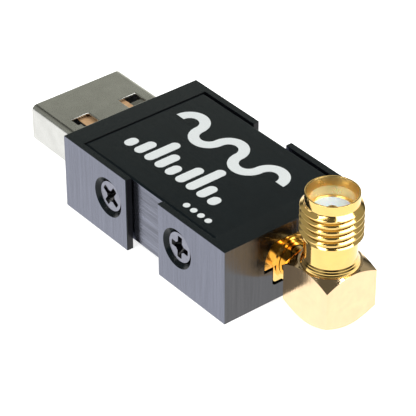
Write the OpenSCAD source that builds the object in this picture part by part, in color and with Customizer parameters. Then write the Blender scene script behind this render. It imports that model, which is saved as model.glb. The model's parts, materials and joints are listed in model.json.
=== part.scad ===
// USB spectrum analyzer dongle: an aluminium sleeve between two U-shaped end caps,
// a USB-A plug at the -X end and a right-angle coaxial adapter at the +X end.
// +X runs towards the antenna end, +Z is up and Z = 0 is the plane it rests on.

/* [Housing] */
// Length of the housing over both end caps
body_l = 26.6; // [24:0.1:32]
// Width of the end caps
body_w = 17.6; // [17:0.1:20]
// Height of the end caps
cap_h = 8.75; // [8.5:0.05:10]
// Length of each end cap, from its outer face to the ends of its flanges
cap_l = 10.7; // [9:0.1:11.5]
// Thickness of the wall at each end
end_wall = 2.5; // [2:0.1:3]
// Thickness of the side flanges
flange_t = 0.75; // [0.6:0.05:1]
// Height of the sleeve's underside above the resting plane
sleeve_z0 = 0.86; // [0.3:0.02:1]
// Height of the sleeve's top face
sleeve_z1 = 8.62; // [8.3:0.02:8.7]
// Width of the space inside the sleeve
cavity_w = 12.8; // [12.6:0.1:13.2]
// Lowest height inside the sleeve
cavity_z0 = 1.75; // [1.5:0.05:1.8]
// Highest height inside the sleeve
cavity_z1 = 6.6; // [6.5:0.05:7.4]

/* [Screws] */
// Distance from a flange's end to its screw
screw_inset = 3.15; // [2.6:0.05:4]
// Height of the screws
screw_z = 5.0; // [4.9:0.05:5.4]
// Radius of a countersink at the outer face
sink_r = 2.25; // [2.1:0.05:2.5]
// Depth of a screw head below the outer face
screw_recess = 0.36; // [0.2:0.02:0.5]
// Radius of a screw's head
head_r = 1.68; // [1.5:0.02:1.7]
// Radius of the M2 shank
shank_r = 0.97; // [0.9:0.01:0.99]
// Overall length of a screw
screw_len = 3.0; // [2.5:0.1:3.2]

/* [USB plug] */
// Width of the plug's shell
usb_w = 12.0; // [11.9:0.1:12.1]
// Height of the plug's shell
usb_h = 4.5; // [4.4:0.1:4.6]
// Sheet thickness of the shell
usb_t = 0.3; // [0.25:0.05:0.35]
// Length that stands out of the housing
usb_out = 10.1; // [9.5:0.1:12]
// Height of the plug's centre line
usb_z = 4.1; // [4.05:0.05:4.3]
// Distance from the tip to the latch windows
window_x = 5.0; // [4.8:0.05:5.3]

/* [Antenna jack and adapter] */
// Height of the antenna axis, which the adapter turns about
jack_z = 4.2; // [4.15:0.05:4.4]
// Bore radius of the jack on the housing
jack_bore_r = 1.8; // [1.7:0.01:1.9]
// Distance from the housing to the adapter's vertical axis
elbow_reach = 5.5; // [5.4:0.1:7]
// Width of the adapter's square block
elbow_w = 6.46; // [6.4:0.02:7]
// Height of the square block
elbow_h = 6.0; // [5.8:0.1:6.2]
// Height of the block's underside
elbow_z0 = 1.05; // [0.9:0.05:1.2]
// Height of the rim of the upright connector
rim_z = 15.16; // [14.8:0.02:15.6]
// Radius of the connector's bore
sma_bore_r = 2.3; // [2.28:0.01:2.32]
// Major radius of its 1/4-36 thread
thread_r = 3.175; // [3.1:0.005:3.2]
// Pitch of the thread
thread_pitch = 0.7056; // [0.7:0.0001:0.71]
// Depth of the insulator below the rim
face_depth = 2.05; // [1.9:0.01:2.1]

/* [Circuit board] */
// Height of the board's upper face
board_z1 = 3.75; // [3.7:0.01:3.8]
// Thickness of the board
board_t = 1.0; // [0.8:0.1:1]
// Width of the board
board_w = 13.3; // [13:0.1:13.4]
// Height of the two large chips
chip_h = 0.85; // [0.7:0.05:1]

/* [Hidden] */
$fn = 72;

// A cut reaches this far past a face
eps = 0.01;
// Gap between parts that sit loosely against each other
seam = 0.05;
// Gap between the sleeve and each side flange
side_gap = 0.15;

// Stations along X, with the whole object centred on the origin
total_l = usb_out + body_l + elbow_reach + elbow_w / 2;
tip_x = -total_l / 2;
usb_face_x = tip_x + usb_out;
ant_face_x = usb_face_x + body_l;
elbow_x = ant_face_x + elbow_reach;
block_x0 = elbow_x - elbow_w / 2;
sleeve_x0 = usb_face_x + end_wall + seam;
sleeve_x1 = ant_face_x - end_wall - seam;
usb_screw_x = usb_face_x + cap_l - screw_inset;
ant_screw_x = ant_face_x - cap_l + screw_inset;

// Cross sections
sleeve_w = body_w - 2 * (flange_t + side_gap);
edge_r = 0.25;
flange_tip_r = 0.12;
board_z0 = board_z1 - board_t;
board_x0 = usb_face_x + end_wall + 3.05;
board_x1 = ant_face_x - end_wall - 0.15;
board_fit = 0.06;

// Countersinks and screws share one 90 degree cone, and a head has a straight rim above its cone
tap_r = 1.0;
head_rim = max(0.02, sink_r - screw_recess - head_r - 0.02);
cross_w = 0.66;
cross_l = 2.65;
cross_depth = 1.1;
cross_end_r = 0.35;
cross_turns = [[34, 12], [3, 51]];

// USB plug
usb_rear_x = usb_face_x + end_wall + 2.9;
usb_corner_r = 0.65;
usb_z0 = usb_z - usb_h / 2;
usb_z1 = usb_z + usb_h / 2;
window_l = 1.95;
window_w = 2.3;
window_y = 3.17;
tongue_z = usb_z;
tongue_x0 = tip_x + 0.35;
tongue_shoulder = 0.35;
rear_block_l = 1.3;
platform_w = 6.34;
platform_t = 0.25;
platform_z = usb_z1 - 0.62;
core_w = 4.0;
channel_x0 = tip_x + window_x - 1.5;
channel_x1 = tip_x + window_x + 3.4;
front_slot_x = tip_x + window_x + 0.3;
lug_l = 1.9;
contact_w = 1.0;
contact_t = 0.2;
contact_ys = [-3.5, -1.0, 1.0, 3.5];

// Antenna jack: a round flange with a flat top over a narrower foot
flange_r = 3.62;
flange_cz = 4.4;
flange_top_z = 6.97;
flange_step_z = 4.12;
foot_w = 5.0;
foot_z = 2.18;
foot_r = 0.4;
opening_gap = 0.15;
foot_gap = 0.28;
jack_face_x = ant_face_x - 0.1;
jack_back_x = ant_face_x - end_wall;
jack_lip_x = ant_face_x + 0.2;
jack_lip_r = 2.4;
leg_y = 2.1;
leg_w = 0.7;
leg_h = 0.5;
leg_l = 2.5;
board_clear = 0.02;
jack_floor_x = jack_back_x + 0.5;
socket_r = 0.5;
pin_r = 0.25;
pin_fit = 0.03;

// Adapter
collar_r = 2.0;
collar_fit = 0.03;
spigot_r = 1.5;
collar_x0 = ant_face_x + 0.27;
collar_x1 = block_x0 - seam;
ferrule_x0 = jack_floor_x + 0.12;
ferrule_bore_r = 1.3;
slot_w = 0.3;
elbow_z1 = elbow_z0 + elbow_h;
chamfer_h = 0.88;
corner_r = elbow_w / 2 * sqrt(2);
insulator_r = 2.05;
insulator_z1 = rim_z - face_depth;
// Each ring at the foot of the barrel: its radius and its top above the block
base_rings = [[3.02, 0.32], [2.88, 0.66]];
ring_slope = 0.05;
neck_r = 2.67;
tip_r = 2.72;
thread_z1 = 13.75;
thread_turns = 5;
thread_z0 = thread_z1 - thread_turns * thread_pitch;
thread_depth = 0.38;
shoulder_z = 14.13;
tail_r = 2.5;
tail_z = 5.15;
centre_r = 0.635;
socket_bore_r = 0.47;
access_r = 1.8;
access_t = 0.8;
spigot_bore_r = 1.1;

// White ink on the sleeve: a wave over a row of spectrum bars, and a small row of dots
ink_t = 0.03;
stroke = 1.2;
wave_r = 1.62;
wave_x0 = -8.0;
wave_y = 3.0;
wave_arcs = 5;
bar_x0 = -7.4;
bar_y = -4.7;
bar_pitch = 1.72;
bar_heights = [1.6, 2.6, 4.4, 3.0, 1.9, 3.4, 4.9, 2.4, 1.5];
dot_r = 0.38;
dot_x0 = 5.2;
dot_y = -6.55;
dot_pitch = 1.15;
dots = 4;

// Chip parts on the board: each entry is x, y and 0 or 1 for lying along X or Y
capacitor_places = [
    [-2.6, 3.9, 0], [-1.1, 3.9, 0], [0.4, 3.9, 0], [-3.4, 2.6, 1], [-3.4, 0.6, 1],
    [3.8, 1.6, 1], [3.8, -0.2, 1], [3.8, -2.0, 1], [5.6, 2.4, 0], [7.2, 2.4, 0]
];
resistor_places = [[-3.4, -4.2, 1], [-2.4, 5.3, 0], [2.2, -4.6, 0], [2.2, -5.6, 0], [6.2, -4.2, 0]];
inductor_places = [[8.4, 3.6, 0], [9.9, -4.0, 1], [4.4, -4.6, 1]];

// Thermal pads
pad_x0 = -3.2;
pad_x1 = 8.7;
upper_pad_w = 8.4;
lower_pad_w = 10;

// A w by h rectangle, centred, with corner radius r
module round_rect(w, h, r) {
    square([w - 2 * r, h], center = true);
    square([w, h - 2 * r], center = true);
    for (sx = [-1, 1], sy = [-1, 1])
        translate([sx * (w / 2 - r), sy * (h / 2 - r)]) circle(r);
}

// Extrudes a profile drawn in Y and Z along X, from x0 to x1
module along_x(x0, x1) {
    translate([x0, 0, 0]) rotate([90, 0, 90]) linear_extrude(x1 - x0) children();
}

// A box given by its two corners
module span(a, b) {
    translate(a) cube(b - a);
}

// A rod of radius r along X
module rod_x(x0, x1, r, z = jack_z) {
    translate([x0, 0, z]) rotate([0, 90, 0]) cylinder(h = x1 - x0, r = r);
}

// A small part lying on the board, centred at x and y
module on_board(x, y, size) {
    translate([x - size[0] / 2, y - size[1] / 2, board_z1]) cube(size);
}

// Countersink and hole for one screw; side is -1 or 1 in Y
module screw_hole(x, side, r) {
    translate([x, side * body_w / 2, screw_z]) rotate([side * 90, 0, 0]) {
        translate([0, 0, -eps]) cylinder(h = sink_r - r + eps, r1 = sink_r + eps, r2 = r);
        cylinder(h = 6, r = r);
    }
}

// ---- Housing ----

module sleeve_cavity() {
    translate([0, (cavity_z0 + cavity_z1) / 2])
        round_rect(cavity_w, cavity_z1 - cavity_z0, 0.4);
    translate([-board_w / 2 - board_fit, board_z0 - board_fit])
        square([board_w + 2 * board_fit, board_t + 2 * board_fit]);
}

module sleeve() {
    color([0.09, 0.1, 0.1]) difference() {
        along_x(sleeve_x0, sleeve_x1) difference() {
            translate([0, (sleeve_z0 + sleeve_z1) / 2])
                round_rect(sleeve_w, sleeve_z1 - sleeve_z0, edge_r);
            sleeve_cavity();
        }
        for (x = [usb_screw_x, ant_screw_x], side = [-1, 1]) screw_hole(x, side, tap_r);
    }
}

// One U-shaped cap with its outer face at X = 0 and its flanges towards +X
module end_cap_blank() {
    difference() {
        span([0, -body_w / 2, 0], [cap_l, body_w / 2, cap_h]);
        span([end_wall, -body_w / 2 + flange_t, -eps],
            [cap_l + eps, body_w / 2 - flange_t, cap_h + eps]);
        for (side = [-1, 1]) flange_tip_cut(side);
    }
}

// Rounds the outer upright edge at the end of a flange
module flange_tip_cut(side) {
    translate([cap_l - flange_tip_r, side * (body_w / 2 - flange_tip_r), -eps])
        difference() {
            translate([0, side > 0 ? 0 : -flange_tip_r - eps, 0])
                cube([flange_tip_r + eps, flange_tip_r + eps, cap_h + 2 * eps]);
            translate([0, 0, -eps]) cylinder(h = cap_h + 4 * eps, r = flange_tip_r);
        }
}

module usb_end_cap() {
    color([0.1, 0.1, 0.12]) difference() {
        translate([usb_face_x, 0, 0]) end_cap_blank();
        along_x(usb_face_x - eps, usb_face_x + end_wall + eps)
            translate([0, usb_z]) round_rect(usb_w + 0.12, usb_h + 0.12, usb_corner_r);
        for (side = [-1, 1]) screw_hole(usb_screw_x, side, tap_r);
    }
}

// The jack's outline, grown sideways by gap and downwards by drop
module jack_outline(gap, drop) {
    intersection() {
        translate([0, flange_cz]) circle(flange_r + gap);
        translate([-5, flange_step_z - drop])
            square([10, flange_top_z + gap - flange_step_z + drop]);
    }
    foot_h = flange_cz - foot_z + drop;
    translate([0, flange_cz - foot_h / 2])
        round_rect(foot_w + 2 * gap, foot_h, foot_r);
}

module antenna_end_cap() {
    color([0.1, 0.1, 0.12]) difference() {
        translate([ant_face_x, 0, 0]) mirror([1, 0, 0]) end_cap_blank();
        along_x(ant_face_x - end_wall - eps, ant_face_x + eps)
            jack_outline(opening_gap, foot_gap);
        for (side = [-1, 1]) screw_hole(ant_screw_x, side, tap_r);
    }
}

// Crossed slots that narrow towards their floor, with a cone at the centre
module cross_recess() {
    intersection() {
        for (a = [0, 90])
            rotate([0, 0, a])
                translate([-cross_l / 2, -cross_w / 2, -eps]) cube([cross_l, cross_w, cross_depth]);
        translate([0, 0, -eps])
            cylinder(h = cross_depth + eps, r1 = cross_l / 2, r2 = cross_end_r);
    }
    translate([0, 0, -eps]) cylinder(h = cross_depth, r1 = cross_w, r2 = cross_w / 4);
}

// An M2 countersunk screw; turn is the angle that its cross recess was left at
module cap_screw(x, side, turn) {
    translate([x, side * (body_w / 2 - screw_recess), screw_z]) rotate([side * 90, 0, 0])
        color([0.06, 0.06, 0.07]) difference() {
            union() {
                cylinder(h = head_rim, r = head_r);
                translate([0, 0, head_rim - eps])
                    cylinder(h = head_r - shank_r, r1 = head_r, r2 = shank_r);
                cylinder(h = screw_len, r = shank_r);
            }
            rotate([0, 0, turn]) cross_recess();
        }
}

module half_ring(r, w, up) {
    intersection() {
        difference() {
            circle(r + w / 2);
            circle(r - w / 2);
        }
        translate([-2 * r, up ? 0 : -2 * r]) square([4 * r, 2 * r]);
    }
}

module printed_graphic() {
    color([0.9, 0.92, 0.92]) translate([0, 0, sleeve_z1]) linear_extrude(ink_t) {
        for (i = [0:wave_arcs - 1])
            translate([wave_x0 + (2 * i + 1) * wave_r, wave_y])
                half_ring(wave_r, stroke, i % 2 == 0);
        for (i = [0:len(bar_heights) - 1])
            translate([bar_x0 + i * bar_pitch, bar_y + bar_heights[i] / 2])
                round_rect(stroke, bar_heights[i], stroke / 2 - eps);
        for (i = [0:dots - 1]) translate([dot_x0 + i * dot_pitch, dot_y]) circle(dot_r);
    }
}

// ---- Electronics ----

module circuit_board() {
    color([0.05, 0.25, 0.15]) difference() {
        span([board_x0, -board_w / 2, board_z0], [board_x1, board_w / 2, board_z1]);
        for (side = [-1, 1])
            translate([board_x0 - eps, side * (usb_w / 2 - usb_t / 2) - 0.25, board_z0 - eps])
                cube([2.1, 0.5, board_t + 2 * eps]);
    }
}

// A flat square package with solder lands along its four sides
module quad_package(x, y, w, lands, pitch) {
    land_t = 0.1;
    color([0.08, 0.08, 0.09])
        translate([x - w / 2, y - w / 2, board_z1 + land_t]) cube([w, w, chip_h - land_t]);
    color([0.75, 0.75, 0.75])
        for (a = [0, 90, 180, 270], i = [0:lands - 1])
            translate([x, y, board_z1]) rotate([0, 0, a])
                translate([(i - (lands - 1) / 2) * pitch - pitch / 4, w / 2 - 0.4, 0])
                    cube([pitch / 2, 0.45, land_t]);
}

module tuner_chip() {
    quad_package(6.6, -0.9, 4.0, 6, 0.5);
}

module demodulator_chip() {
    quad_package(0.0, -0.4, 6.0, 12, 0.4);
}

// A metal can on a ceramic base
module crystal_oscillator() {
    color([0.8, 0.78, 0.7]) on_board(3.9, 4.4, [2.5, 2.0, 0.45]);
    color([0.85, 0.8, 0.6]) translate([0, 0, 0.45]) on_board(3.9, 4.4, [2.2, 1.7, 0.3]);
}

// A plastic package with gull-wing legs; legs_a and legs_b are the counts on each side
module leaded_package(x, y, size, legs_a, legs_b) {
    leg_w = 0.35;
    leg_reach = 0.5;
    color([0.08, 0.08, 0.09]) translate([0, 0, 0.1]) on_board(x, y, size);
    color([0.75, 0.75, 0.75])
        for (side = [-1, 1]) {
            legs = side < 0 ? legs_a : legs_b;
            for (i = [0:legs - 1])
                on_board(x + (i - (legs - 1) / 2) * 0.95,
                    y + side * (size[1] / 2 + leg_reach / 2 - 0.15), [leg_w, leg_reach + 0.3, 0.1]);
        }
}

module memory_chip() {
    leaded_package(-0.6, -4.9, [2.9, 1.4, 0.7], 3, 2);
}

module voltage_regulator() {
    leaded_package(-4.9, 2.9, [2.3, 1.4, 0.7], 2, 1);
}

module esd_diode() {
    leaded_package(-4.8, -1.6, [2.3, 1.4, 0.7], 3, 3);
}

// Two-terminal parts with a plated end at each side
module chip_parts(places, size, body_color) {
    end_l = size[0] * 0.2;
    for (p = places)
        translate([p[0], p[1], board_z1]) rotate([0, 0, 90 * p[2]]) {
            color(body_color)
                translate([-size[0] / 2 + end_l, -size[1] / 2, 0])
                    cube([size[0] - 2 * end_l, size[1], size[2]]);
            color([0.75, 0.75, 0.75])
                for (side = [-1, 1])
                    translate([side * (size[0] / 2 - end_l / 2) - end_l / 2, -size[1] / 2, 0])
                        cube([end_l, size[1], size[2]]);
        }
}

module capacitors() {
    chip_parts(capacitor_places, [1.0, 0.5, 0.5], [0.6, 0.45, 0.3]);
}

module resistors() {
    chip_parts(resistor_places, [1.0, 0.5, 0.35], [0.1, 0.1, 0.12]);
}

module inductors() {
    chip_parts(inductor_places, [1.6, 0.8, 0.8], [0.25, 0.25, 0.28]);
}

// A soft pad that carries heat into the sleeve, between the heights z0 and z1
module thermal_pad(w, z0, z1) {
    color([0.55, 0.6, 0.7]) span([pad_x0, -w / 2, z0], [pad_x1, w / 2, z1]);
}

module upper_thermal_pad() {
    thermal_pad(upper_pad_w, board_z1 + chip_h, cavity_z1);
}

module lower_thermal_pad() {
    thermal_pad(lower_pad_w, cavity_z0, board_z0);
}

// ---- USB plug ----

module usb_shell() {
    color([0.75, 0.75, 0.73]) {
        difference() {
            along_x(tip_x, usb_rear_x) translate([0, usb_z]) difference() {
                round_rect(usb_w, usb_h, usb_corner_r);
                round_rect(usb_w - 2 * usb_t, usb_h - 2 * usb_t, usb_corner_r - usb_t);
            }
            for (side = [-1, 1])
                translate([tip_x + window_x, side * window_y - window_w / 2, usb_z0 - eps])
                    cube([window_l, window_w, usb_h + 2 * eps]);
        }
        for (side = [-1, 1])
            translate([usb_rear_x - eps, side * (usb_w / 2 - usb_t / 2) - usb_t / 2, board_z0])
                cube([lug_l, usb_t, board_t]);
    }
}

// The insulator: a rear block and a tongue under the top wall. Beside the latch windows the
// tongue is a narrow core under a thin plate, so the latches have room to spring in.
module usb_insulator() {
    inner_w = usb_w - 2 * usb_t - 0.04;
    ceiling = usb_z1 - usb_t - 0.02;
    floor_z = usb_z0 + usb_t + 0.02;
    rear_x = usb_rear_x - 0.6;
    color([0.72, 0.53, 0.36]) difference() {
        union() {
            span([tongue_x0, -inner_w / 2, tongue_z],
                [rear_x, inner_w / 2, ceiling - tongue_shoulder]);
            span([tongue_x0, -inner_w / 2 + tongue_shoulder, tongue_z],
                [rear_x, inner_w / 2 - tongue_shoulder, ceiling]);
            span([usb_face_x - rear_block_l, -inner_w / 2 + tongue_shoulder, floor_z],
                [rear_x, inner_w / 2 - tongue_shoulder, tongue_z]);
        }
        span([channel_x0, -inner_w, platform_z], [channel_x1, inner_w, usb_z1]);
        span([channel_x0, -platform_w / 2, tongue_z + platform_t],
            [front_slot_x, platform_w / 2, usb_z1]);
        for (side = [-1, 1]) {
            translate([channel_x0, side > 0 ? platform_w / 2 : -inner_w, tongue_z - eps])
                cube([channel_x1 - channel_x0, inner_w - platform_w / 2, usb_h]);
            translate([channel_x0, side > 0 ? core_w / 2 : -inner_w, tongue_z - eps])
                cube([channel_x1 - channel_x0, inner_w - core_w / 2,
                    platform_z - platform_t - tongue_z]);
        }
        for (y = contact_ys)
            span([usb_face_x - rear_block_l - eps, y - contact_w / 2 - 0.02, tongue_z - contact_t - 0.02],
                [usb_rear_x, y + contact_w / 2 + 0.02, tongue_z + 0.1]);
    }
}

// One contact: a blade under the tongue that runs back to a foot on the board
module usb_contact(y) {
    foot_x = usb_rear_x + 1.0;
    bend_x = usb_rear_x - 0.35;
    color([0.85, 0.68, 0.35]) {
        span([tip_x + 1.2, y - contact_w / 2, tongue_z - contact_t],
            [bend_x, y + contact_w / 2, tongue_z]);
        span([bend_x - contact_t, y - contact_w / 2, board_z1],
            [bend_x, y + contact_w / 2, tongue_z]);
        span([bend_x - contact_t, y - contact_w / 2, board_z1],
            [foot_x, y + contact_w / 2, board_z1 + contact_t]);
    }
}

// ---- Antenna jack ----

module jack_body() {
    color([0.9, 0.68, 0.22]) difference() {
        union() {
            along_x(jack_back_x, jack_face_x) jack_outline(0, 0);
            along_x(jack_face_x - eps, jack_lip_x) intersection() {
                jack_outline(0, 0);
                translate([0, jack_z]) circle(jack_lip_r);
            }
            for (y = [-leg_y, leg_y], z = [board_z1 + board_clear, board_z0 - board_clear - leg_h])
                span([jack_back_x - leg_l, y - leg_w / 2, z],
                    [jack_back_x + eps, y + leg_w / 2, z + leg_h]);
        }
        rod_x(jack_floor_x, jack_lip_x + eps, jack_bore_r);
        rod_x(jack_back_x - eps, jack_floor_x + eps, jack_bore_r - 0.3);
    }
}

module jack_insulator() {
    color([0.95, 0.95, 0.93]) difference() {
        rod_x(jack_back_x, jack_floor_x, jack_bore_r - 0.3);
        rod_x(jack_back_x - eps, jack_floor_x + eps, socket_r);
    }
}

module jack_contact() {
    color([0.9, 0.68, 0.22]) difference() {
        union() {
            rod_x(jack_back_x - 0.1, jack_floor_x + 1.1, socket_r);
            rod_x(jack_back_x - 2.4, jack_back_x, 0.4);
        }
        rod_x(jack_back_x + 0.2, jack_floor_x + 1.1 + eps, pin_r + pin_fit);
    }
}

// ---- Adapter ----

// The slotted outer contact that springs into the jack, with the ring behind it
module adapter_collar() {
    shoulder_x = collar_x0 + 0.3;
    color([0.88, 0.67, 0.24]) difference() {
        union() {
            rod_x(ferrule_x0, collar_x0 + eps, jack_bore_r - collar_fit);
            rod_x(collar_x0, collar_x1, collar_r);
        }
        rod_x(ferrule_x0 - eps, collar_x1, ferrule_bore_r);
        rod_x(shoulder_x, collar_x1 + eps, spigot_r + collar_fit);
        for (a = [0, 90])
            translate([ferrule_x0 - eps, 0, jack_z]) rotate([a + 45, 0, 0])
                translate([0, -slot_w / 2, -collar_r])
                    cube([jack_face_x - ferrule_x0 - 0.4, slot_w, 2 * collar_r]);
    }
}

// The square block, turned to a cone at its top and bottom corners
module elbow_block() {
    color([0.92, 0.78, 0.36]) difference() {
        union() {
            intersection() {
                translate([elbow_x - elbow_w / 2, -elbow_w / 2, elbow_z0])
                    cube([elbow_w, elbow_w, elbow_h]);
                translate([elbow_x, 0, 0]) rotate_extrude()
                    polygon([
                        [0, elbow_z0], [elbow_w / 2 - 0.03, elbow_z0],
                        [corner_r, elbow_z0 + chamfer_h], [corner_r, elbow_z1 - chamfer_h],
                        [elbow_w / 2 - 0.03, elbow_z1], [0, elbow_z1]
                    ]);
            }
            rod_x(collar_x0 + 0.35, block_x0 + 0.5, spigot_r);
        }
        translate([elbow_x, 0, tail_z]) cylinder(h = elbow_h, r = tail_r);
        translate([elbow_x, 0, elbow_z0 + access_t]) cylinder(h = elbow_h, r = access_r - 0.4);
        translate([elbow_x, 0, elbow_z0 - eps]) cylinder(h = access_t + eps, r = access_r);
        rod_x(collar_x0, elbow_x, spigot_bore_r);
    }
}

module elbow_access_cover() {
    color([0.9, 0.74, 0.32])
        translate([elbow_x, 0, elbow_z0 + 0.05]) cylinder(h = access_t - 0.05, r = access_r - 0.01);
}

module elbow_plug_insulator() {
    color([0.95, 0.95, 0.93]) difference() {
        union() {
            rod_x(jack_face_x - 0.6, collar_x0 + 0.3, ferrule_bore_r - collar_fit);
            rod_x(collar_x0 + 0.3 - eps, block_x0 + 0.6, spigot_bore_r - eps);
        }
        rod_x(jack_face_x - 0.7, elbow_x, pin_r);
    }
}

module elbow_plug_pin() {
    color([0.9, 0.68, 0.22]) rod_x(jack_back_x + 0.35, elbow_x - centre_r + 0.35, pin_r);
}

// The upright connector's barrel, with its thread as a row of grooves
module sma_barrel() {
    root_r = thread_r - thread_depth;
    color([0.92, 0.72, 0.3]) translate([elbow_x, 0, 0]) difference() {
        rotate_extrude()
            polygon(concat(
                [[0, tail_z], [tail_r - 0.01, tail_z], [tail_r - 0.01, elbow_z1]],
                [
                    for (i = [0:1], p = [i == 0 ? 0 : base_rings[0][1] + ring_slope, base_rings[i][1]])
                        [base_rings[i][0], elbow_z1 + p]
                ],
                [[neck_r, elbow_z1 + base_rings[1][1] + ring_slope], [neck_r, thread_z0]],
                [
                    for (i = [0:thread_turns - 1], p = [[0, root_r], [0.5, thread_r]])
                        [p[1], thread_z0 + (i + p[0]) * thread_pitch]
                ],
                [[thread_r, thread_z1], [tip_r, shoulder_z], [tip_r, rim_z], [0, rim_z]]
            ));
        translate([0, 0, tail_z - eps]) cylinder(h = insulator_z1 - tail_z, r = insulator_r);
        translate([0, 0, insulator_z1 - 0.02]) cylinder(h = face_depth + 1, r = sma_bore_r);
    }
}

module sma_insulator() {
    color([0.96, 0.96, 0.95]) translate([elbow_x, 0, 0]) difference() {
        translate([0, 0, tail_z]) cylinder(h = insulator_z1 - tail_z, r = insulator_r - 0.01);
        translate([0, 0, tail_z - eps]) cylinder(h = insulator_z1, r = centre_r);
    }
}

// The centre contact: a socket at the top, a cross hole for the plug's pin at the bottom
module sma_contact() {
    color([0.9, 0.68, 0.22]) difference() {
        translate([elbow_x, 0, jack_z - 0.55]) cylinder(h = insulator_z1 - jack_z + 0.55, r = centre_r);
        translate([elbow_x, 0, insulator_z1 - 3]) cylinder(h = 3 + eps, r = socket_bore_r);
        translate([elbow_x - 1, -0.08, insulator_z1 - 2]) cube([2, 0.16, 3]);
        rod_x(elbow_x - 1, elbow_x - centre_r + 0.4, pin_r);
    }
}

sleeve();
usb_end_cap();
antenna_end_cap();
cap_screw(usb_screw_x, -1, cross_turns[0][0]);  // screw_usb_right
cap_screw(usb_screw_x, 1, cross_turns[0][1]);  // screw_usb_left
cap_screw(ant_screw_x, -1, cross_turns[1][0]);  // screw_antenna_right
cap_screw(ant_screw_x, 1, cross_turns[1][1]);  // screw_antenna_left
printed_graphic();
circuit_board();
tuner_chip();
demodulator_chip();
crystal_oscillator();
memory_chip();
voltage_regulator();
esd_diode();
capacitors();
resistors();
inductors();
upper_thermal_pad();
lower_thermal_pad();
usb_shell();
usb_insulator();
usb_contact(contact_ys[0]);  // usb_contact_power
usb_contact(contact_ys[1]);  // usb_contact_data_minus
usb_contact(contact_ys[2]);  // usb_contact_data_plus
usb_contact(contact_ys[3]);  // usb_contact_ground
jack_body();
jack_insulator();
jack_contact();
adapter_collar();
elbow_block();
elbow_plug_insulator();
elbow_plug_pin();
elbow_access_cover();
sma_barrel();
sma_insulator();
sma_contact();
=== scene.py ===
"""Looks for the USB spectrum analyzer: black anodised housing, steel plug and gold adapter."""

import json
import math

import bmesh
import bpy
from mathutils import Matrix, Vector


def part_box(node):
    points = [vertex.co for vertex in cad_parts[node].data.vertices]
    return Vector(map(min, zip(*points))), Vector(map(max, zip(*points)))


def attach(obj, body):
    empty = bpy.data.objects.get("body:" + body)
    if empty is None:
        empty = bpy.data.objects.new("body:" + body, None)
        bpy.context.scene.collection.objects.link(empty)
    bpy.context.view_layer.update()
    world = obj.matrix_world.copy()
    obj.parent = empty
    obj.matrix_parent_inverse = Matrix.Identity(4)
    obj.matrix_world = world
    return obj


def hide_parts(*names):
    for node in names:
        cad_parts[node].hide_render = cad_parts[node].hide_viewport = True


MM = 0.001
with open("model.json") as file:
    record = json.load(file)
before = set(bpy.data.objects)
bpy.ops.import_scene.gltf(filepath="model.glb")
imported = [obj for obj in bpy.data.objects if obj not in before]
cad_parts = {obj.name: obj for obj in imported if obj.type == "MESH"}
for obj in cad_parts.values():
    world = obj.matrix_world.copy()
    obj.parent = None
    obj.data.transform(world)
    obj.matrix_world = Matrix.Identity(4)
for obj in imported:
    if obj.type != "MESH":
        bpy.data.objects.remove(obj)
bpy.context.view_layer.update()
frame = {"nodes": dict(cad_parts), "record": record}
scene = bpy.context.scene
nodes = frame["nodes"]
BODY_OF = {n: b for b, members in frame["record"]["behaviour"]["bodies"].items() for n in members}
SLOT_OF = {s["node"]: s["material_slot"] for s in frame["record"]["subparts"]}


# ---------------------------------------------------------------- camera

CAMERA_TURN = 51.50        # degrees round the object, 0 looks along +Y
CAMERA_RISE = 35.09        # degrees above the horizon
CAMERA_ROLL = -0.25
CAMERA_LENS = 189.7        # mm on the 36 mm sensor
CAMERA_SHIFT = (0.0060, -0.0038)
CAMERA_AT = Vector((0.1462, -0.1163, 0.1340))


def make_camera():
    turn, rise, roll = (math.radians(v) for v in (CAMERA_TURN, CAMERA_RISE, CAMERA_ROLL))
    back = Vector((math.sin(turn) * math.cos(rise), -math.cos(turn) * math.cos(rise), math.sin(rise)))
    right = Vector((math.cos(turn), math.sin(turn), 0))
    up = back.cross(right)
    basis = Matrix((right, up, back)).transposed().to_4x4()
    data = bpy.data.cameras.new("camera")
    data.lens = CAMERA_LENS
    data.shift_x, data.shift_y = CAMERA_SHIFT
    data.clip_start, data.clip_end = 0.01, 10
    camera = bpy.data.objects.new("camera", data)
    camera.matrix_world = Matrix.Translation(CAMERA_AT) @ basis @ Matrix.Rotation(roll, 4, "Z")
    scene.collection.objects.link(camera)
    scene.camera = camera


make_camera()


# ---------------------------------------------------------------- shader helpers

MIX_A, MIX_B, MIX_OUT = 6, 7, 2      # a Mix node's colour sockets


def add_node(tree, kind, inputs=(), **fields):
    """Adds a node to tree, sets its fields, and links or sets each of its inputs."""
    made = tree.nodes.new(kind)
    for key, value in fields.items():
        setattr(made, key, value)
    for key, value in dict(inputs).items():
        if isinstance(value, bpy.types.NodeSocket):
            tree.links.new(value, made.inputs[key])
        else:
            made.inputs[key].default_value = value
    return made


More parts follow.
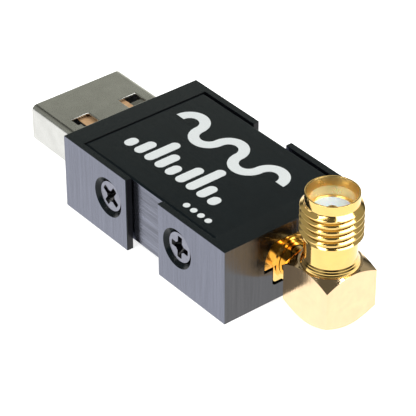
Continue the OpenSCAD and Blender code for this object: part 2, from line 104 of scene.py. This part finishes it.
class Shader:
    """A short way to build one node material. Most methods return an output socket."""

    def __init__(self, name):
        self.material = bpy.data.materials.new(name)
        self.material.use_nodes = True
        self.tree = self.material.node_tree
        self.bsdf = self.tree.nodes["Principled BSDF"]

    def set(self, **values):
        for key, value in values.items():
            self.bsdf.inputs[key.replace("_", " ")].default_value = value

    def link(self, source, target):
        self.tree.links.new(source, self.bsdf.inputs[target])

    def node(self, kind, inputs=(), **fields):
        return add_node(self.tree, kind, inputs, **fields)

    def place(self, scale=(1, 1, 1)):
        """Object coordinates in millimetres, stretched by scale."""
        coords = self.node("ShaderNodeTexCoord").outputs["Object"]
        size = tuple(s / MM for s in scale)
        return self.node("ShaderNodeMapping", {"Vector": coords, "Scale": size}).outputs["Vector"]

    def noise(self, scale=(1, 1, 1), frequency=1.0, detail=2.0, rough=0.5):
        made = self.node("ShaderNodeTexNoise", {
            "Vector": self.place(scale), "Scale": frequency, "Detail": detail, "Roughness": rough})
        return made.outputs["Fac"]

    def spread(self, value, low=0.0, high=1.0, start=0.3, end=0.7):
        """Maps value from start..end, which by default is the middle of a noise, onto low..high."""
        made = self.node("ShaderNodeMapRange", {
            "Value": value, "From Min": start, "From Max": end, "To Min": low, "To Max": high})
        return made.outputs["Result"]

    def mix(self, factor, a, b, blend="MIX"):
        """Blends two colours, each an RGB triple or a socket."""
        a, b = (v if isinstance(v, bpy.types.NodeSocket) else (*v, 1) for v in (a, b))
        made = self.node("ShaderNodeMix", {"Factor": factor, MIX_A: a, MIX_B: b},
                         data_type="RGBA", blend_type=blend)
        return made.outputs[MIX_OUT]

    def maths(self, operation, a, b=0.0):
        return self.node("ShaderNodeMath", {0: a, 1: b}, operation=operation).outputs[0]

    def facing(self, axis, start, end):
        """0 where the surface turns away from axis, 1 where it squarely faces it, either way round."""
        normal = self.node("ShaderNodeTexCoord").outputs["Normal"]
        part = self.node("ShaderNodeSeparateXYZ", {0: normal}).outputs[axis]
        made = self.node("ShaderNodeMapRange", {
            "Value": self.maths("ABSOLUTE", part), "From Min": start, "From Max": end,
        }, interpolation_type="SMOOTHSTEP")
        return made.outputs["Result"]

    def square(self):
        """1 on upright faces square to an axis, and 0 on tops, countersinks and broken edges. The
        tops' black is their own finish; the black it gives the countersinks is painted shade.
        """
        return self.maths("MAXIMUM", self.facing("X", 0.90, 0.96), self.facing("Y", 0.90, 0.96))

    def bump(self, height, depth_mm, strength):
        made = self.node("ShaderNodeBump", {
            "Height": height, "Distance": depth_mm * MM, "Strength": strength})
        self.link(made.outputs["Normal"], "Normal")


# ---------------------------------------------------------------- materials

FLANGE_END_X, CAP_END_X = 6, 10      # mm from the middle: the flanges' ends, the caps' ends
FLANGE_END_PAINTED_SHADE = 0.3               # painted shade: how much darker the flanges' inner ends are painted than the caps' ends


def black_anodised(name, streak, band, walls, side, wall, top, contrast=(0.80, 1.12)):
    """Black anodised aluminium. It shines like dark metal where the walls mask is 1, and stays
    black elsewhere. streak, band and walls are functions that give heights and the mask.
    side, wall and top are the colours of the long sides, the end walls and the flat top; wall is a
    darker copy of side as painted shade, and is painted darker still towards the flanges' ends.
    contrast is how dark and how bright the grain makes the walls."""
    m = Shader(name)
    fine, broad, upright = streak(m), band(m), walls(m)
    both = m.maths("ADD", m.maths("MULTIPLY", fine, 0.5), m.maths("MULTIPLY", broad, 0.5))
    shade = m.spread(both)
    worn = m.mix(shade, (contrast[0],) * 3, (contrast[1],) * 3)
    # Painted shade: the end walls' colour is painted darker from the caps' ends in to the flanges'
    # ends, where the flanges stand in shade.
    along = m.node("ShaderNodeSeparateXYZ", {0: m.place()}).outputs["X"]
    flange_painted_shade_ramp = m.spread(m.maths("ABSOLUTE", along), start=FLANGE_END_X, end=CAP_END_X)
    ends = m.mix(flange_painted_shade_ramp, tuple(c * FLANGE_END_PAINTED_SHADE for c in wall), wall)
    # Painted shade: faces turned along X take the darker end-wall colour.
    light = m.mix(1.0, m.mix(m.facing("X", 0.4, 0.8), side, ends), worn, "MULTIPLY")
    flats = m.mix(shade, top, tuple(c * 1.8 for c in top))
    m.link(m.mix(upright, flats, light), "Base Color")
    m.link(m.maths("MULTIPLY", upright, 0.97), "Metallic")
    m.link(m.spread(both, 0.13, 0.07), "Roughness")
    m.bump(fine, 0.018, 0.7)
    m.set(IOR=1.28)
    return m.material


def brushed_anodised(name, grain, side, wall, top, contrast):
    """Anodised aluminium brushed along the grain axis."""
    fine = tuple(0.35 if axis == grain else 14.0 for axis in "XYZ")
    broad = tuple(0.12 if axis == grain else 3.2 for axis in "XYZ")
    return black_anodised(name, lambda m: m.noise(fine, detail=3.0, rough=0.65),
                          lambda m: m.noise(broad, detail=2.0), Shader.square,
                          side, wall, top, contrast)


def black_screw():
    """Screws with the same finish, a little pitted, and painted black inside the recess as painted
    shade.
    """
    return black_anodised("screw_black", lambda m: m.noise(frequency=9.0, detail=3.0),
                          lambda m: m.noise(frequency=2.0, detail=2.0),
                          # Painted shade: all but the head's flat faces take the black top colour, so
                          # the recess is black.
                          lambda m: m.facing("Y", 0.75, 0.95),
                          (0.25, 0.255, 0.305), (0.10, 0.10, 0.11), (0.003, 0.003, 0.004))


def white_ink():
    """Screen-printed ink with the weave of its screen."""
    m = Shader("white_ink")
    weave = m.noise(frequency=14.0, detail=4.0, rough=0.6)
    m.link(m.mix(m.spread(weave, end=0.6), (0.70, 0.75, 0.76), (0.88, 0.91, 0.92)), "Base Color")
    m.link(m.spread(weave, 0.6, 0.45), "Roughness")
    m.bump(weave, 0.008, 0.5)
    return m.material


def gold(name, colour, rough, marks, depth):
    """Gold plating over machined brass; marks is the scale of the tool marks along X, Y and Z."""
    m = Shader(name)
    cloud = m.noise(frequency=0.8, detail=3.0)
    deeper = tuple(c * 0.94 for c in colour)
    m.link(m.mix(m.spread(cloud, start=0.35, end=0.65), colour, deeper), "Base Color")
    m.link(m.spread(cloud, rough * 0.8, rough * 1.3), "Roughness")
    m.bump(m.noise(marks, detail=2.0), depth, 0.3)
    m.set(Metallic=1.0, Coat_Weight=0.7, Coat_Roughness=0.05)
    return m.material


def usb_steel():
    """Nickel-plated sheet with a faint speckle; its sides are painted lighter and its wide flat faces
    darker, as painted light and shade.
    """
    m = Shader("usb_steel")
    cloud = m.noise(frequency=0.7, detail=3.0)
    speck = m.noise(frequency=7.0, detail=3.0, rough=0.6)
    # Painted light and shade: a lighter copy of the colour for the sides, a darker one for the flats.
    sides = m.mix(m.spread(cloud), (0.60, 0.60, 0.57), (0.68, 0.68, 0.65))
    flats = m.mix(m.spread(cloud), (0.46, 0.45, 0.415), (0.53, 0.52, 0.48))
    m.link(m.mix(m.facing("Z", 0.5, 0.9), sides, flats), "Base Color")
    m.link(m.spread(speck, 0.24, 0.34), "Roughness")
    m.bump(speck, 0.006, 0.3)
    m.set(Metallic=1.0)
    return m.material


def moulded(name, low, high, rough, pore=6.0, depth=0.01):
    """Moulded plastic, epoxy or ceramic with a faint texture."""
    m = Shader(name)
    skin = m.noise(frequency=pore, detail=3.0)
    m.link(m.mix(m.spread(skin), low, high), "Base Color")
    m.link(m.spread(skin, rough * 0.85, rough * 1.15), "Roughness")
    m.bump(skin, depth, 0.4)
    return m.material


def ptfe():
    """White PTFE, slightly waxy; its pale blue tint is painted light that cancels the yellow light the
    gold bore bounces onto it.
    """
    m = Shader("ptfe")
    skin = m.noise(frequency=5.0, detail=2.0)
    # Painted light: the blue tint offsets the bore's yellow bounce light.
    m.link(m.mix(m.spread(skin), (0.74, 0.86, 0.98), (0.78, 0.90, 1.0)), "Base Color")
    m.link(m.spread(skin, 0.35, 0.5), "Roughness")
    m.bump(skin, 0.006, 0.3)
    m.set(Subsurface_Weight=0.25, Subsurface_Scale=0.0006)
    return m.material


def board_laminate():
    """Green solder mask with the glass weave just showing."""
    m = Shader("board_laminate")
    weave = m.node("ShaderNodeTexWave", {
        "Vector": m.place((2.2, 2.2, 0.2)), "Scale": 1.0, "Distortion": 1.5, "Detail": 2.0})
    m.link(m.mix(weave.outputs["Fac"], (0.006, 0.055, 0.028), (0.012, 0.085, 0.045)), "Base Color")
    m.link(m.spread(weave.outputs["Fac"], 0.2, 0.32, 0, 1), "Roughness")
    m.bump(weave.outputs["Fac"], 0.006, 0.3)
    m.set(Coat_Weight=0.4, Coat_Roughness=0.15)
    return m.material


MATERIALS = {
    # The third colour of each anodised finish, the end walls', is painted darker than the sides as
    # painted shade.
    "anodised_sleeve": brushed_anodised(
        "anodised_sleeve", "X", (0.19, 0.20, 0.25), (0.08, 0.08, 0.09), (0.003, 0.0055, 0.007),
        (0.45, 1.20)),
    "anodised_cap": brushed_anodised(
        "anodised_cap", "Z", (0.18, 0.19, 0.24), (0.10, 0.10, 0.105), (0.003, 0.0055, 0.007),
        (0.80, 1.12)),
    "screw_black": black_screw(),
    "white_ink": white_ink(),
    "board_laminate": board_laminate(),
    "chip_epoxy": moulded("chip_epoxy", (0.012, 0.012, 0.014), (0.022, 0.022, 0.025), 0.5, 12.0),
    "can_metal": moulded("can_metal", (0.55, 0.53, 0.46), (0.62, 0.60, 0.54), 0.35),
    "capacitor_ceramic": moulded("capacitor_ceramic", (0.30, 0.20, 0.12), (0.36, 0.25, 0.15), 0.45),
    "resistor_black": moulded("resistor_black", (0.02, 0.02, 0.022), (0.04, 0.04, 0.045), 0.4),
    "thermal_silicone": moulded("thermal_silicone", (0.20, 0.24, 0.32), (0.26, 0.30, 0.38), 0.8, 4.0),
    "usb_steel": usb_steel(),
    "usb_plastic": moulded("usb_plastic", (0.56, 0.34, 0.18), (0.68, 0.43, 0.23), 0.5, 3.0),
    "contact_gold": gold("contact_gold", (0.95, 0.66, 0.26), 0.2, (4, 4, 4), 0.004),
    "ptfe": ptfe(),
    "gold_plate": gold("gold_plate", (1.0, 0.66, 0.20), 0.10, (1.2, 1.2, 16.0), 0.006),
}
# Near-black plastic for the insulator's channels: painted shade, where the real plastic sits in
# shadow.
PLASTIC_PAINTED_SHADE = moulded("usb_plastic_painted_shade", (0.030, 0.032, 0.040), (0.045, 0.046, 0.055), 0.5, 3.0)
# The block's tool marks are real; its paler gold is a painted highlight, the whitened look of its
# brightly reflecting faces.
MILLED_GOLD_PAINTED_HIGHLIGHT = gold("gold_plate_milled_painted_highlight", (1.0, 0.71, 0.40), 0.11, (7.0, 7.0, 0.25), 0.02)
BORED_GOLD = gold("gold_plate_bored", (0.95, 0.70, 0.30), 0.32, (1.2, 1.2, 16.0), 0.006)


# ---------------------------------------------------------------- mesh helpers

SHARP = math.radians(32)         # edges that turn more than this stay sharp
FLAT = math.radians(0.4)         # faces that meet at less than this are one face
WELD = 0.0005                    # mm: corners closer than this are one corner


def mark_sharp(bm):
    """Shades every face smooth and keeps the sharp edges sharp."""
    for face in bm.faces:
        face.smooth = True
    for edge in bm.edges:
        edge.smooth = len(edge.link_faces) == 2 and edge.calc_face_angle(0) < SHARP


def add_piece(name, bm, node):
    """Turns a mesh built in millimetres into a piece that stands for a CAD node and rides on its
    body, with the node's finish."""
    mark_sharp(bm)
    bmesh.ops.scale(bm, vec=(MM, MM, MM), verts=bm.verts)
    mesh = bpy.data.meshes.new(name)
    bm.to_mesh(mesh)
    bm.free()
    piece = bpy.data.objects.new(name, mesh)
    scene.collection.objects.link(piece)
    mesh.materials.append(MATERIALS[SLOT_OF[node]])
    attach(piece, BODY_OF[node])
    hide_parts(node)
    evened = piece.modifiers.new("even_normals", "WEIGHTED_NORMAL")
    evened.weight = 90
    evened.thresh = 1e-9       # square metres: smaller differences in area count as equal
    evened.keep_sharp = True
    return piece


def refined(node, edge_mm, segments, finish=None):
    """A copy of a CAD node's shape with its sharp edges broken by edge_mm, or left if that is 0.
    finish is a material of its own, in place of the slot's."""
    bm = bmesh.new()
    bm.from_mesh(nodes[node].data)
    bmesh.ops.scale(bm, vec=(1 / MM, 1 / MM, 1 / MM), verts=bm.verts)
    bmesh.ops.remove_doubles(bm, verts=bm.verts, dist=WELD)
    bmesh.ops.dissolve_limit(bm, angle_limit=FLAT, verts=bm.verts, edges=bm.edges)
    if edge_mm > 0:
        sharp = [e for e in bm.edges if len(e.link_faces) == 2 and e.calc_face_angle(0) > SHARP]
        bmesh.ops.bevel(bm, geom=sharp, offset=edge_mm, offset_type="OFFSET", segments=segments,
                        profile=0.5, affect="EDGES", clamp_overlap=True)
    piece = add_piece(node + "_finished", bm, node)
    if finish:
        piece.data.materials[0] = finish
    return piece


def rounded_profile(corners, radius, segments=3):
    """Rounds each corner of a closed (r, z) outline by radius, or by less where a side is short."""
    count = len(corners)
    outline = []
    for i, corner in enumerate(corners):
        here = Vector(corner)
        before, after = Vector(corners[i - 1]) - here, Vector(corners[(i + 1) % count]) - here
        cut = min(radius, before.length * 0.45, after.length * 0.45)
        start, end = here + before.normalized() * cut, here + after.normalized() * cut
        for k in range(segments + 1):
            t = k / segments
            outline.append(start * (1 - t) ** 2 + here * 2 * t * (1 - t) + end * t ** 2)
    return outline


def lathe(bm, rings, centre, columns):
    """Turns (r, z) rings about the upright axis through centre and joins each ring to the next."""
    rows = []
    for r, z in rings:
        rows.append([bm.verts.new((centre.x + r * math.cos(a), centre.y + r * math.sin(a), z))
                     for a in (2 * math.pi * j / columns for j in range(columns))])
    for low, high in zip(rows, rows[1:]):
        for j in range(columns):
            k = (j + 1) % columns
            bm.faces.new((low[j], low[k], high[k], high[j]))


def helix(bm, centre, columns, low, high, pitch, tooth, phase, limit):
    """A screw thread between heights low and high. tooth lists (share of pitch, radius) for one
    turn, phase shifts it up by a share of pitch, and limit(z) is the largest radius at height z."""
    per_turn = len(tooth)
    turns = math.ceil((high - low) / pitch) + 3
    rows = []
    for turn in range(turns):
        for share, r in tooth:
            row = []
            for j in range(columns):
                z = low + (turn - 2 + share + phase + j / columns) * pitch
                z = min(max(z, low), high)
                angle = 2 * math.pi * j / columns
                reach = min(r, limit(z))
                row.append(bm.verts.new((centre.x + reach * math.cos(angle),
                                         centre.y + reach * math.sin(angle), z)))
            rows.append(row)
    for i in range(len(rows) - 1):
        for j in range(columns):
            if j < columns - 1:
                a, b, c, d = rows[i][j], rows[i][j + 1], rows[i + 1][j + 1], rows[i + 1][j]
            elif i + 1 + per_turn < len(rows):
                a, b = rows[i][j], rows[i + per_turn][0]
                c, d = rows[i + 1 + per_turn][0], rows[i + 1][j]
            else:
                continue
            bm.faces.new((a, b, c, d))


def millimetres(node):
    """A CAD node's lowest and highest corners at rest."""
    low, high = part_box(node)
    return low / MM, high / MM


def upright_connector():
    """The 1/4-36 coaxial connector: a turned barrel with a true helical thread, in mm."""
    columns = 144
    low, high = millimetres("sma_barrel")
    insulator_high = millimetres("sma_insulator")[1]
    block_top = millimetres("elbow_block")[1].z
    centre = (low + high) / 2
    tip_r, neck_r, tail_r = 2.72, 2.67, 2.49
    insulator_r, bore_r, mouth_r, mouth_depth = 2.05, 2.3, 2.56, 0.90

    # The thread: its ends run down to start_r below and to tip_r at the shoulder above.
    pitch, major, depth = 0.7056, 3.175, 0.38
    root = major - depth
    thread_low, thread_high, shoulder = block_top + 3.15, high.z - 1.41, high.z - 1.03
    start_r, start_slope, start_gap = 2.9, 1.2, 0.04

    def limit(z):
        top = tip_r + (shoulder - z) * (major - tip_r) / (shoulder - thread_high)
        return max(min(major, start_r + (z - thread_low) * start_slope, top), tip_r)

    fillet_r, round_r, near_r = root + 0.03, major - 0.035, major - 0.012
    tooth = [(0.00, root), (0.20, root), (0.24, fillet_r), (0.50, round_r), (0.53, near_r),
             (0.57, major), (0.63, major), (0.67, near_r), (0.70, round_r), (0.96, fillet_r)]
    crest, crest_turn, crest_z = 0.60, -38.5 / 360, high.z - 2.09
    phase = ((crest_z - thread_low) / pitch - crest - crest_turn) % 1

    # The neck steps out to the block over a few rings.
    rings, ring_h, ring_lip, foot_r = 3, 0.24, 0.05, tip_r + 0.3
    flare = []
    for i in range(rings):
        r = neck_r + (foot_r - neck_r) * i / rings
        top = block_top + ring_h * (rings - i)
        flare += [(r, top + ring_lip), (r, top)]
    outline = [(neck_r, thread_low - start_gap)] + flare + [
        (foot_r, block_top), (tail_r, block_top), (tail_r, low.z),
        (insulator_r, low.z), (insulator_r, insulator_high.z), (bore_r, insulator_high.z),
        (bore_r, high.z - mouth_depth), (mouth_r, high.z), (tip_r, high.z),
    ]
    edge_r = 0.025
    profile = rounded_profile(outline, edge_r)
    bm = bmesh.new()
    lathe(bm, [(start_r, thread_low)] + profile + [(limit(shoulder), shoulder)], centre, columns)
    helix(bm, centre, columns, thread_low, shoulder, pitch, tooth, phase, limit)
    bmesh.ops.remove_doubles(bm, verts=bm.verts, dist=0.0008)
    bmesh.ops.dissolve_degenerate(bm, edges=bm.edges, dist=WELD)
    bmesh.ops.recalc_face_normals(bm, faces=bm.faces)
    bore_floor = insulator_high.z - 0.01
    for face in bm.faces:
        middle = face.calc_center_median()
        reach = math.hypot(middle.x - centre.x, middle.y - centre.y)
        face.material_index = int(reach < mouth_r and middle.z > bore_floor)
    piece = add_piece("sma_barrel_threaded", bm, "sma_barrel")
    piece.data.materials.append(BORED_GOLD)


def finish_insulator(piece):
    """The plug's insulator. Its plate reaches forward past the latch windows, and the channels
    beside and under the plate are painted near black as painted shade, behind the open front."""
    piece.data.materials.append(PLASTIC_PAINTED_SHADE)
    low, high = millimetres("usb_insulator")
    slot_x, plate_x, reach = low.x + 4.95, low.x + 3.85, 0.06
    front_x, back_x, plate_low = low.x + 2.5, high.x - 0.1, high.z - 0.40
    for vertex in piece.data.vertices:
        if abs(vertex.co.x / MM - slot_x) < reach:
            vertex.co.x += (plate_x - slot_x) * MM
    # Painted shade: faces low in the channels, behind the open front, take the near-black plastic.
    for face in piece.data.polygons:
        place = face.center / MM
        face.material_index = int(front_x < place.x < back_x and place.z < plate_low)


# ---------------------------------------------------------------- pieces

# Each node in view, with how far its edges are broken in mm, in how many segments, and a finish
# of its own where it has one
REFINED = {
    "sleeve": (0.03, 2), "usb_end_cap": (0.03, 2), "antenna_end_cap": (0.03, 2),
    "screw_usb_right": (0.04, 2), "screw_usb_left": (0.04, 2),
    "screw_antenna_right": (0.04, 2), "screw_antenna_left": (0.04, 2),
    "usb_shell": (0.10, 3), "usb_insulator": (0.04, 2), "jack_body": (0.07, 3),
    "adapter_collar": (0.04, 2), "elbow_block": (0, 0, MILLED_GOLD_PAINTED_HIGHLIGHT),
}
for node, obj in nodes.items():
    obj.data.materials.clear()
    obj.data.materials.append(MATERIALS[SLOT_OF[node]])
finished = {node: refined(node, *edges) for node, edges in REFINED.items()}
finish_insulator(finished["usb_insulator"])
upright_connector()


# ---------------------------------------------------------------- studio

def area_light(name, at, size, power):
    """A soft box that faces the object."""
    data = bpy.data.lights.new(name, "AREA")
    data.shape = "RECTANGLE"
    data.size, data.size_y = size
    data.energy = power
    light = bpy.data.objects.new(name, data)
    light.location = at
    light.rotation_euler = (-Vector(at)).to_track_quat("-Z", "Y").to_euler()
    scene.collection.objects.link(light)


SWEEP = 1.3                # strength of the white sweep in reflections
SEEN_SWEEP = 1.05          # the same where the camera looks straight at it
ROOM, PANEL, OVERHEAD, LIT = 0.035, 0.30, 0.07, 1.0    # strengths above the horizon
BACKDROP = Vector((-0.77, 0.62, 0.17))   # where the lit backdrop stands
SIDEWAYS = Vector((0.62, 0.78, 0.0))     # soft panels glow on both sides along this line


def make_world():
    """A bright white sweep below the horizon, and above it a dark room with a lit backdrop, a
    soft panel on each side and a faint glow overhead."""
    world = bpy.data.worlds.new("studio")
    world.use_nodes = True
    tree = world.node_tree

    def ramp(value, start, end, low, high):
        return add_node(tree, "ShaderNodeMapRange", {
            "Value": value, "From Min": start, "From Max": end, "To Min": low, "To Max": high,
        }, interpolation_type="SMOOTHSTEP").outputs["Result"]

    def maths(operation, a, b=0.0):
        return add_node(tree, "ShaderNodeMath", {0: a, 1: b}, operation=operation).outputs[0]

    def along(direction):
        return add_node(tree, "ShaderNodeVectorMath", {0: towards, 1: direction},
                        operation="DOT_PRODUCT").outputs["Value"]

    def blend(factor, a, b):
        return add_node(tree, "ShaderNodeMix", {"Factor": factor, "A": a, "B": b}).outputs["Result"]

    towards = add_node(tree, "ShaderNodeTexCoord").outputs["Generated"]
    height = add_node(tree, "ShaderNodeSeparateXYZ", {0: towards}).outputs["Z"]
    backdrop = ramp(along(BACKDROP.normalized()), 0.855, 0.995, ROOM, LIT)
    aside = maths("ABSOLUTE", along(SIDEWAYS))
    panels = maths("MULTIPLY", ramp(aside, 0.30, 0.60, 0.0, PANEL), ramp(height, 0.15, 0.35, 0.0, 1.0))
    overhead = ramp(height, 0.80, 1.0, 0.0, OVERHEAD)
    above = maths("ADD", backdrop, maths("ADD", overhead, panels))
    below = ramp(height, -0.05, 0.12, 1.0, 0.0)
    direct = add_node(tree, "ShaderNodeLightPath").outputs["Is Camera Ray"]
    strength = blend(direct, blend(below, above, SWEEP), SEEN_SWEEP)
    tint = add_node(tree, "ShaderNodeMix", {
        "Factor": below, MIX_A: (1.0, 1.03, 0.92, 1), MIX_B: (1, 1, 1, 1),
    }, data_type="RGBA").outputs[MIX_OUT]
    background = tree.nodes["Background"]
    tree.links.new(tint, background.inputs["Color"])
    tree.links.new(strength, background.inputs["Strength"])
    scene.world = world


FLOOR_HALF = 1.5           # metres
FLOOR_DROP = 0.00005       # metres below the object's underside


def make_floor():
    """White paper that lights itself a little. Reflections see the sweep in its place."""
    bm = bmesh.new()
    bmesh.ops.create_grid(bm, x_segments=8, y_segments=8, size=FLOOR_HALF)
    mesh = bpy.data.meshes.new("floor")
    bm.to_mesh(mesh)
    bm.free()
    floor = bpy.data.objects.new("floor", mesh)
    floor.location.z = -FLOOR_DROP
    scene.collection.objects.link(floor)
    m = Shader("floor_paper")
    fibre = m.noise(frequency=0.4, detail=2.0)
    m.link(m.mix(fibre, (0.94, 0.94, 0.94), (0.96, 0.96, 0.96)), "Base Color")
    m.set(Roughness=0.9, Emission_Color=(1, 1, 1, 1), Emission_Strength=0.8)
    mesh.materials.append(m.material)
    floor.visible_glossy = False


make_world()
make_floor()
area_light("key", (0.008, -0.431, 0.552), (0.30, 0.30), 1.7)
area_light("fill", (0.401, 0.158, 0.552), (0.55, 0.42), 3.4)
scene.view_settings.view_transform = "Standard"
